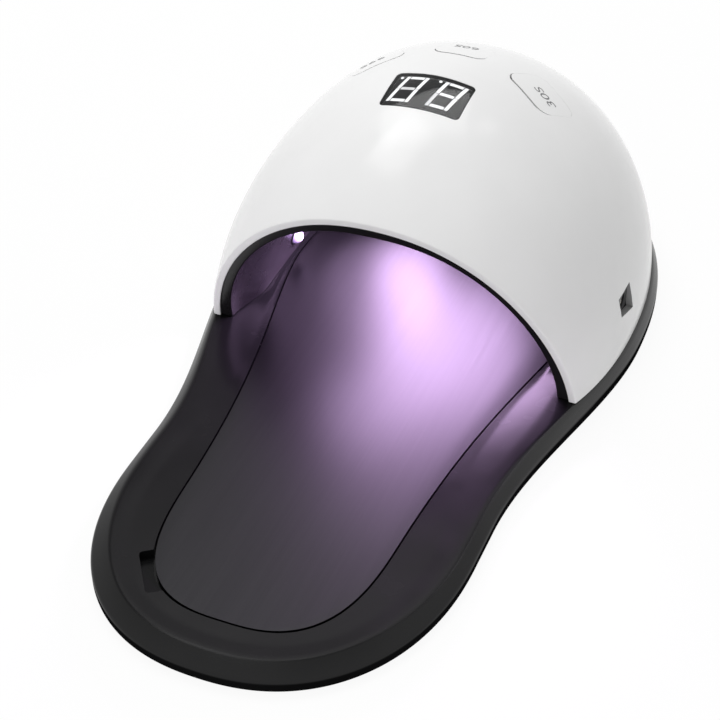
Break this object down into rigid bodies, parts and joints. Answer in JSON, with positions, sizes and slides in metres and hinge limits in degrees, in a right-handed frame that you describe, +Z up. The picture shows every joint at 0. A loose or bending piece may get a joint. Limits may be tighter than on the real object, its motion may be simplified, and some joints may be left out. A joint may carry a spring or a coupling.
{
  "type": "gel nail curing lamp",
  "caption": "Cap-shaped table lamp that cures gel nail polish: a white domed hood with an arched hand opening over a black base with a long hand rest and a lift-out plate.",
  "frame": {"origin": "under the middle of the box round the part, on the table it stands on", "axes": "+Z up, -Y towards the hand rest and the opening, +X towards the side with the power inlet"},
  "size_m": [0.1414, 0.27, 0.0876],
  "materials": {
    "white_shell": "glossy white moulding",
    "dark_liner": "glossy black moulding",
    "black_base": "satin black moulding",
    "satin_plate": "satin dark grey sheet",
    "smoked_window": "smoked clear plastic",
    "black_plastic": "black moulding",
    "lit_numerals": "lit white segments",
    "board_green": "solder mask",
    "screw_steel": "zinc plated",
    "board_aluminium": "white coated sheet",
    "lamp_lens": "clear lens, lit violet",
    "pin_metal": "nickel plated",
    "red_wire": "wire insulation",
    "foot_rubber": "moulded rubber"
  },
  "bodies": {
    "housing": {"top_shell": "white_shell", "reflector_liner": "dark_liner", "base_tray": "black_base", "display_window": "smoked_window", "display_module": "black_plastic", "display_digits": "lit_numerals", "display_riser": "black_plastic", "control_board": "board_green", "board_parts": "black_plastic", "board_screws": "screw_steel", "tact_switches": "black_plastic", "led_boards": "board_aluminium", "led_lenses": "lamp_lens", "hand_sensor": "black_plastic", "dc_jack": "black_plastic", "jack_pin": "pin_metal", "power_wires": "red_wire", "case_screws": "screw_steel", "rubber_feet": "foot_rubber"},
    "plate": {"hand_plate": "satin_plate"},
    "left_key": {"key_99": "white_shell", "plunger_99": "black_plastic"},
    "middle_key": {"key_60": "white_shell", "plunger_60": "black_plastic"},
    "right_key": {"key_30": "white_shell", "plunger_30": "black_plastic"}
  },
  "joints": [
    {"name": "plate_tilt", "type": "hinge", "parent": "housing", "child": "plate", "pos_m": [0, 0.104, 0.0043], "axis": [-1, 0, 0], "range_deg": [0, 4]},
    {"name": "left_key_press", "type": "slide", "parent": "housing", "child": "left_key", "axis": [0, 0, -1], "range_m": [0, 0.0007], "stiffness_N_per_m": 400, "springref_m": -0.0006},
    {"name": "middle_key_press", "type": "slide", "parent": "housing", "child": "middle_key", "axis": [0, 0, -1], "range_m": [0, 0.0007], "stiffness_N_per_m": 400, "springref_m": -0.0006},
    {"name": "right_key_press", "type": "slide", "parent": "housing", "child": "right_key", "axis": [0, 0, -1], "range_m": [0, 0.0007], "stiffness_N_per_m": 400, "springref_m": -0.0006}
  ]
}
